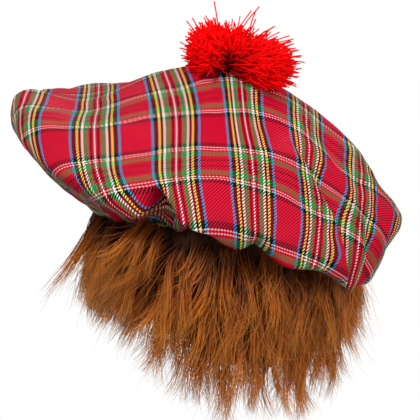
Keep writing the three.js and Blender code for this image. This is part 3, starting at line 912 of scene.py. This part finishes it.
class Shader:
    """Makes a node material one node at a time."""

    def __init__(self, name):
        self.material = bpy.data.materials.new(name)
        self.material.use_nodes = True
        self.tree = self.material.node_tree
        self.surface = next(n for n in self.tree.nodes if n.type == "BSDF_PRINCIPLED")

    def node(self, kind, **inputs):
        """A node of any kind, with its inputs linked or set by name."""
        made = self.tree.nodes.new(kind)
        for key, value in inputs.items():
            self.put(made.inputs[key.replace("_", " ")], value)
        return made

    def put(self, socket, value):
        """Links an input to another node's output, or sets its value."""
        if isinstance(value, bpy.types.NodeSocket):
            self.tree.links.new(value, socket)
        else:
            socket.default_value = value

    def attribute(self, name, output="Fac"):
        """One of the mesh's own values at each point."""
        made = self.tree.nodes.new("ShaderNodeAttribute")
        made.attribute_name = name
        return made.outputs[output]

    def math(self, operation, a, b=0.0, c=0.0):
        """A sum, product or other operation on up to three values."""
        made = self.tree.nodes.new("ShaderNodeMath")
        made.operation = operation
        for socket, value in zip(made.inputs, (a, b, c)):
            self.put(socket, value)
        return made.outputs[0]

    def mix(self, factor, a, b, kind="MIX"):
        """Two colours mixed by a factor."""
        made = self.tree.nodes.new("ShaderNodeMix")
        made.data_type = "RGBA"
        made.blend_type = kind
        self.put(made.inputs[0], factor)
        self.put(made.inputs[6], a)
        self.put(made.inputs[7], b)
        return made.outputs[2]

    def noise(self, vector, scale, detail=2.0, roughness=0.5):
        """Cloudy values from 0 to 1 over a place."""
        made = self.tree.nodes.new("ShaderNodeTexNoise")
        made.inputs["Scale"].default_value = scale
        made.inputs["Detail"].default_value = detail
        made.inputs["Roughness"].default_value = roughness
        self.tree.links.new(vector, made.inputs["Vector"])
        return made.outputs["Fac"]

    def ramp(self, factor, stops, constant=False):
        """A colour for each factor, blended between stops or in stripes."""
        made = self.tree.nodes.new("ShaderNodeValToRGB")
        ramp = made.color_ramp
        ramp.interpolation = "CONSTANT" if constant else "LINEAR"
        ramp.elements.remove(ramp.elements[1])
        for i, (place, colour) in enumerate(stops):
            stop = ramp.elements[0] if i == 0 else ramp.elements.new(place)
            stop.position = place
            stop.color = (*colour, 1.0)
        self.tree.links.new(factor, made.inputs["Fac"])
        return made.outputs["Color"]

    def bump(self, height, strength, distance):
        """A normal that follows a height, whose full size is in metres."""
        made = self.tree.nodes.new("ShaderNodeBump")
        made.inputs["Strength"].default_value = strength
        made.inputs["Distance"].default_value = distance
        self.tree.links.new(height, made.inputs["Height"])
        return made.outputs["Normal"]

    def set(self, **inputs):
        """Links or sets inputs of the material's surface by name."""
        for key, value in inputs.items():
            self.put(self.surface.inputs[key.replace("_", " ")], value)


def striped(shader, place, stripes):
    """A mirrored sett of stripes over one coordinate, in metres."""
    reach = stripes[-1][0]
    folded_place = shader.math("PINGPONG", place, reach * MM)
    share = shader.math("DIVIDE", folded_place, reach * MM)
    stops = []
    start = 0.0
    for end, yarn in stripes:
        stops.append((start / reach, YARN[yarn]))
        start = end
    return shader.ramp(share, stops, constant=True)


def tartan_material():
    """A 2/2 twill of red polyester with coloured stripes in warp and weft."""
    shader = Shader("tartan")
    weave = shader.attribute("weave", "Vector")
    parts = shader.node("ShaderNodeSeparateXYZ", Vector=weave)
    across, along = parts.outputs[0], parts.outputs[1]
    warp = striped(shader, across, WARP_STRIPES)
    weft = striped(shader, shader.math("SUBTRACT", along, WEFT_START * MM), WEFT_STRIPES)
    step = shader.math("DIVIDE", parts.outputs[2], THREAD * MM)
    in_repeat = shader.math("FLOORED_MODULO", step, TWILL_REPEAT)
    over = shader.math("LESS_THAN", in_repeat, WARP_SHARE * TWILL_REPEAT)
    colour = shader.mix(over, weft, warp)
    beneath = shader.mix(over, warp, weft)
    colour = shader.mix(YARN_BENEATH, colour, beneath, "MULTIPLY")
    patches = shader.noise(weave, scale=30.0, detail=3.0)
    # Painted shade in the twill's valleys, weaker on pale yarns, plus slow patches of darker tone.
    rib = shader.math("SINE", shader.math("MULTIPLY", step, 2 * math.pi / TWILL_REPEAT))
    valley = shader.math("MULTIPLY_ADD", rib, -0.5, 0.5)
    pale = shader.node("ShaderNodeSeparateColor", Color=colour).outputs[1]
    depth = shader.math("MULTIPLY_ADD", pale, PALE_YARN_VALLEY_SHADE - DARK_YARN_VALLEY_SHADE, DARK_YARN_VALLEY_SHADE)
    valley_shade_and_patches = shader.math("MULTIPLY", valley, depth)
    valley_shade_and_patches = shader.math("ADD", valley_shade_and_patches, shader.math("MULTIPLY", patches, CLOTH_PATCHES))
    colour = shader.mix(valley_shade_and_patches, colour, VALLEY_SHADE_AND_PATCH_TINT, "MULTIPLY")
    fibres = shader.noise(weave, scale=2600.0, detail=1.0)
    threads = shader.math("ADD", shader.math("MULTIPLY", rib, 0.5), fibres)
    # Painted shade on the crown's inner face.
    inside = shader.math("MULTIPLY", shader.attribute("inside"), INSIDE_SHADE)
    colour = shader.mix(inside, colour, INSIDE_SHADE_TINT, "MULTIPLY")
    roughness = shader.math("ADD", 0.52, shader.math("MULTIPLY", patches, 0.18))
    shader.set(
        Base_Color=colour,
        Roughness=roughness,
        Normal=shader.bump(threads, strength=0.6, distance=0.00014),
        Specular_IOR_Level=0.10,
    )
    return shader.material


def band_material():
    """The plain dark cloth of the band, in a fine even weave."""
    shader = Shader("band_cloth")
    weave = shader.attribute("weave", "Vector")
    parts = shader.node("ShaderNodeSeparateXYZ", Vector=weave)
    rate = 2 * math.pi / (BAND_PITCH * MM)
    across = shader.math("SINE", shader.math("MULTIPLY", parts.outputs[0], rate))
    along = shader.math("SINE", shader.math("MULTIPLY", parts.outputs[1], rate))
    threads = shader.math("MULTIPLY", across, along)
    patches = shader.noise(weave, scale=60.0, detail=3.0)
    colour = shader.ramp(patches, BAND_COLOURS)
    shader.set(
        Base_Color=colour,
        Roughness=0.85,
        Normal=shader.bump(threads, strength=0.5, distance=0.0001),
        Sheen_Weight=0.2,
        Specular_IOR_Level=0.25,
    )
    return shader.material


def yarn_material():
    """Bright red cut yarn, darkened by painted shade towards the tie."""
    shader = Shader("red_yarn")
    along = shader.attribute("along")
    tone = shader.attribute("tone")
    # Painted shade darkens each yarn towards the tie.
    depth = shader.ramp(along, RED_YARN_SHADED_COLOURS)
    variety = shader.math("MULTIPLY", tone, RED_YARN_VARIETY)
    colour = shader.mix(variety, depth, DARK_YARN_TINT, "MULTIPLY")
    place = shader.node("ShaderNodeTexCoord").outputs["Object"]
    fibre = shader.noise(place, scale=2400.0, detail=2.0, roughness=0.7)
    shader.set(
        Base_Color=colour,
        Roughness=0.9,
        Normal=shader.bump(fibre, strength=0.5, distance=0.0003),
        Sheen_Weight=0.3,
        Sheen_Roughness=0.5,
        Sheen_Tint=(1.0, 0.02, 0.02, 1.0),
        Specular_IOR_Level=0.06,
    )
    return shader.material


def hair_material():
    """Ginger false hair, paler at its tips, and darkened by painted shade towards its roots."""
    shader = Shader("false_hair")
    along = shader.attribute("along")
    tone = shader.attribute("tone")
    lock_tone = shader.attribute("lock_tone")
    place = shader.node("ShaderNodeTexCoord").outputs["Object"]
    mottled = shader.noise(place, scale=28.0, detail=3.0)
    # Painted shade darkens each hair towards its root, under the crown and among the locks.
    depth = shader.ramp(along, HAIR_COLOURS_SHADED_AT_ROOTS)
    variety = shader.math("MULTIPLY", tone, HAIR_VARIETY)
    variety = shader.math("ADD", variety, shader.math("MULTIPLY", lock_tone, LOCK_VARIETY))
    variety = shader.math("ADD", variety, shader.math("MULTIPLY", mottled, PLACE_VARIETY))
    colour = shader.mix(variety, depth, DARK_HAIR_TINT, "MULTIPLY")
    shader.set(Base_Color=colour, Roughness=0.42, Sheen_Weight=0.05, Specular_IOR_Level=0.26)
    return shader.material


def hair_base_material():
    """The packed roots behind the loose locks, dark with painted shade."""
    shader = Shader("hair_roots")
    place = shader.node("ShaderNodeTexCoord").outputs["Object"]
    stretched = shader.node("ShaderNodeMapping", Vector=place, Scale=(1.0, 1.0, 0.08)).outputs[0]
    fibres = shader.noise(stretched, scale=900.0, detail=3.0, roughness=0.7)
    # The roots' dark colours are painted shade behind the locks.
    colour = shader.ramp(fibres, SHADED_HAIR_ROOT_COLOURS)
    shader.set(
        Base_Color=colour,
        Roughness=0.75,
        Normal=shader.bump(fibres, strength=0.9, distance=0.001),
        Specular_IOR_Level=0.2,
    )
    return shader.material


def aim(thing, target):
    """Turns a lamp or a camera to look at a point."""
    thing.rotation_mode = "QUATERNION"
    thing.rotation_quaternion = (target - thing.location).to_track_quat("-Z", "Y")


def soft_light(name, place, size, power):
    """A round area lamp aimed at the hat."""
    lamp = bpy.data.lights.new(name, "AREA")
    lamp.shape = "DISK"
    lamp.size = size
    lamp.energy = power
    holder = placed(name, lamp)
    holder.location = place
    aim(holder, LIGHT_TARGET)


def build_studio():
    """White surroundings that light the hat less than they show, and three soft lights."""
    scene = bpy.context.scene
    world = bpy.data.worlds.new("studio")
    world.use_nodes = True
    nodes, links = world.node_tree.nodes, world.node_tree.links
    background = next(n for n in nodes if n.type == "BACKGROUND")
    background.inputs["Color"].default_value = (1.0, 1.0, 1.0, 1.0)
    seen = nodes.new("ShaderNodeLightPath").outputs["Is Camera Ray"]
    strength = nodes.new("ShaderNodeMapRange")
    strength.inputs["To Min"].default_value = WORLD_LIGHT
    strength.inputs["To Max"].default_value = 1.0
    links.new(seen, strength.inputs["Value"])
    links.new(strength.outputs["Result"], background.inputs["Strength"])
    scene.world = world
    scene.view_settings.view_transform = "Standard"
    for light in LIGHTS:
        soft_light(**light)


def build_floor():
    """A plain pale floor at a standing wearer's feet, below what the camera shows."""
    turn = np.arange(FLOOR_SIDES) * 2 * math.pi / FLOOR_SIDES
    rim = np.stack([np.cos(turn), np.sin(turn), 0 * turn], -1) * FLOOR_RADIUS
    mesh = bpy.data.meshes.new("floor")
    mesh.from_pydata([tuple(p - (0, 0, FLOOR_DROP)) for p in rim], [], [tuple(range(FLOOR_SIDES))])
    shader = Shader("pale_floor")
    shader.set(Base_Color=(0.8, 0.8, 0.8, 1.0), Roughness=0.8)
    mesh.materials.append(shader.material)
    placed("floor", mesh)


def build_camera():
    """The camera that shows the photograph's view."""
    data = bpy.data.cameras.new("view")
    data.sensor_width = SENSOR_WIDTH
    data.lens = SENSOR_WIDTH * VIEW_DISTANCE / VIEW_WIDTH
    camera = placed("view", data)
    back = Vector((0, -math.cos(VIEW_ELEVATION), math.sin(VIEW_ELEVATION)))
    camera.location = VIEW_TARGET + back * VIEW_DISTANCE
    aim(camera, VIEW_TARGET)
    bpy.context.scene.camera = camera


crown, crown_area = build_crown(tartan_material())
headband, band_length = build_headband(band_material())
build_pompom(yarn_material())
build_hair_base(hair_base_material())
build_hair(hair_material())
build_studio()
build_floor()
build_camera()
